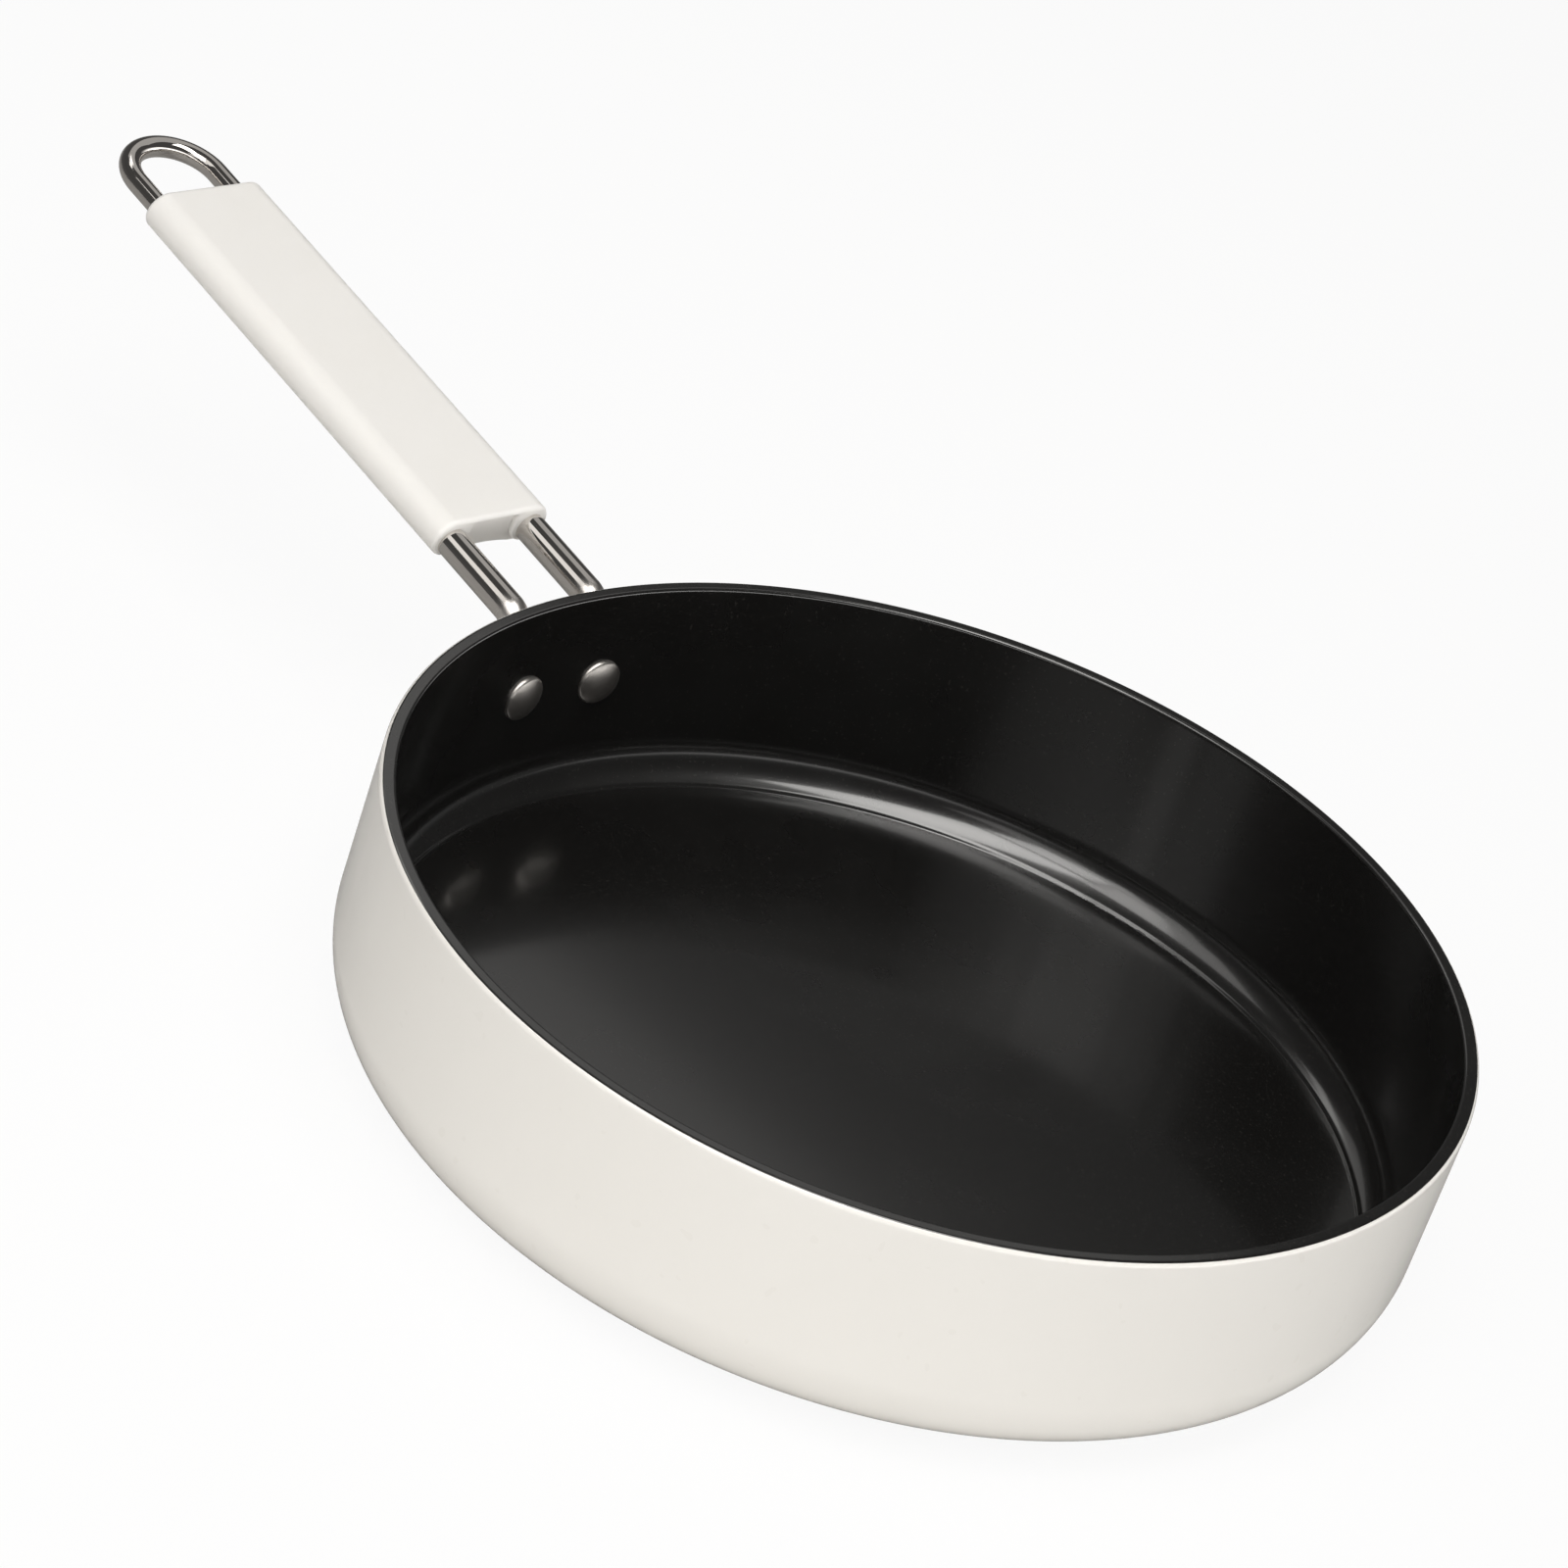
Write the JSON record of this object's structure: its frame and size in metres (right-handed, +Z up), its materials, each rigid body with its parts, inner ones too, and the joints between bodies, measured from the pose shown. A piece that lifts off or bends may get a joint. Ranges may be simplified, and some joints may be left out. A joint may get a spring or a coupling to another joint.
{
  "type": "omelette pan",
  "caption": "Straight-sided round frying pan, white enamel outside and black non-stick inside, with a twin-leg steel handle, moulded grip and wire hanging loop.",
  "frame": {"origin": "centre of the flat turned base, where it rests on the hob", "axes": "+Z up out of the pan; +X from the pan's axis along the handle; +Y to the left of a cook who looks from the pan towards the grip"},
  "size_m": [0.4802, 0.282, 0.0888],
  "materials": {
    "cast_aluminium": "turned on the base, cast elsewhere",
    "white_enamel": "glossy enamel",
    "black_nonstick": "glossy non-stick coating",
    "polished_steel": "mirror polished",
    "satin_steel": "satin",
    "white_plastic": "matt moulded"
  },
  "bodies": {
    "root": {"pan_body": "cast_aluminium", "enamel_coat": "white_enamel", "nonstick_lining": "black_nonstick", "leg_left": "polished_steel", "leg_right": "polished_steel", "rivets": "satin_steel", "grip": "white_plastic", "hanging_loop": "polished_steel", "retaining_pins": "satin_steel"}
  },
  "joints": []
}
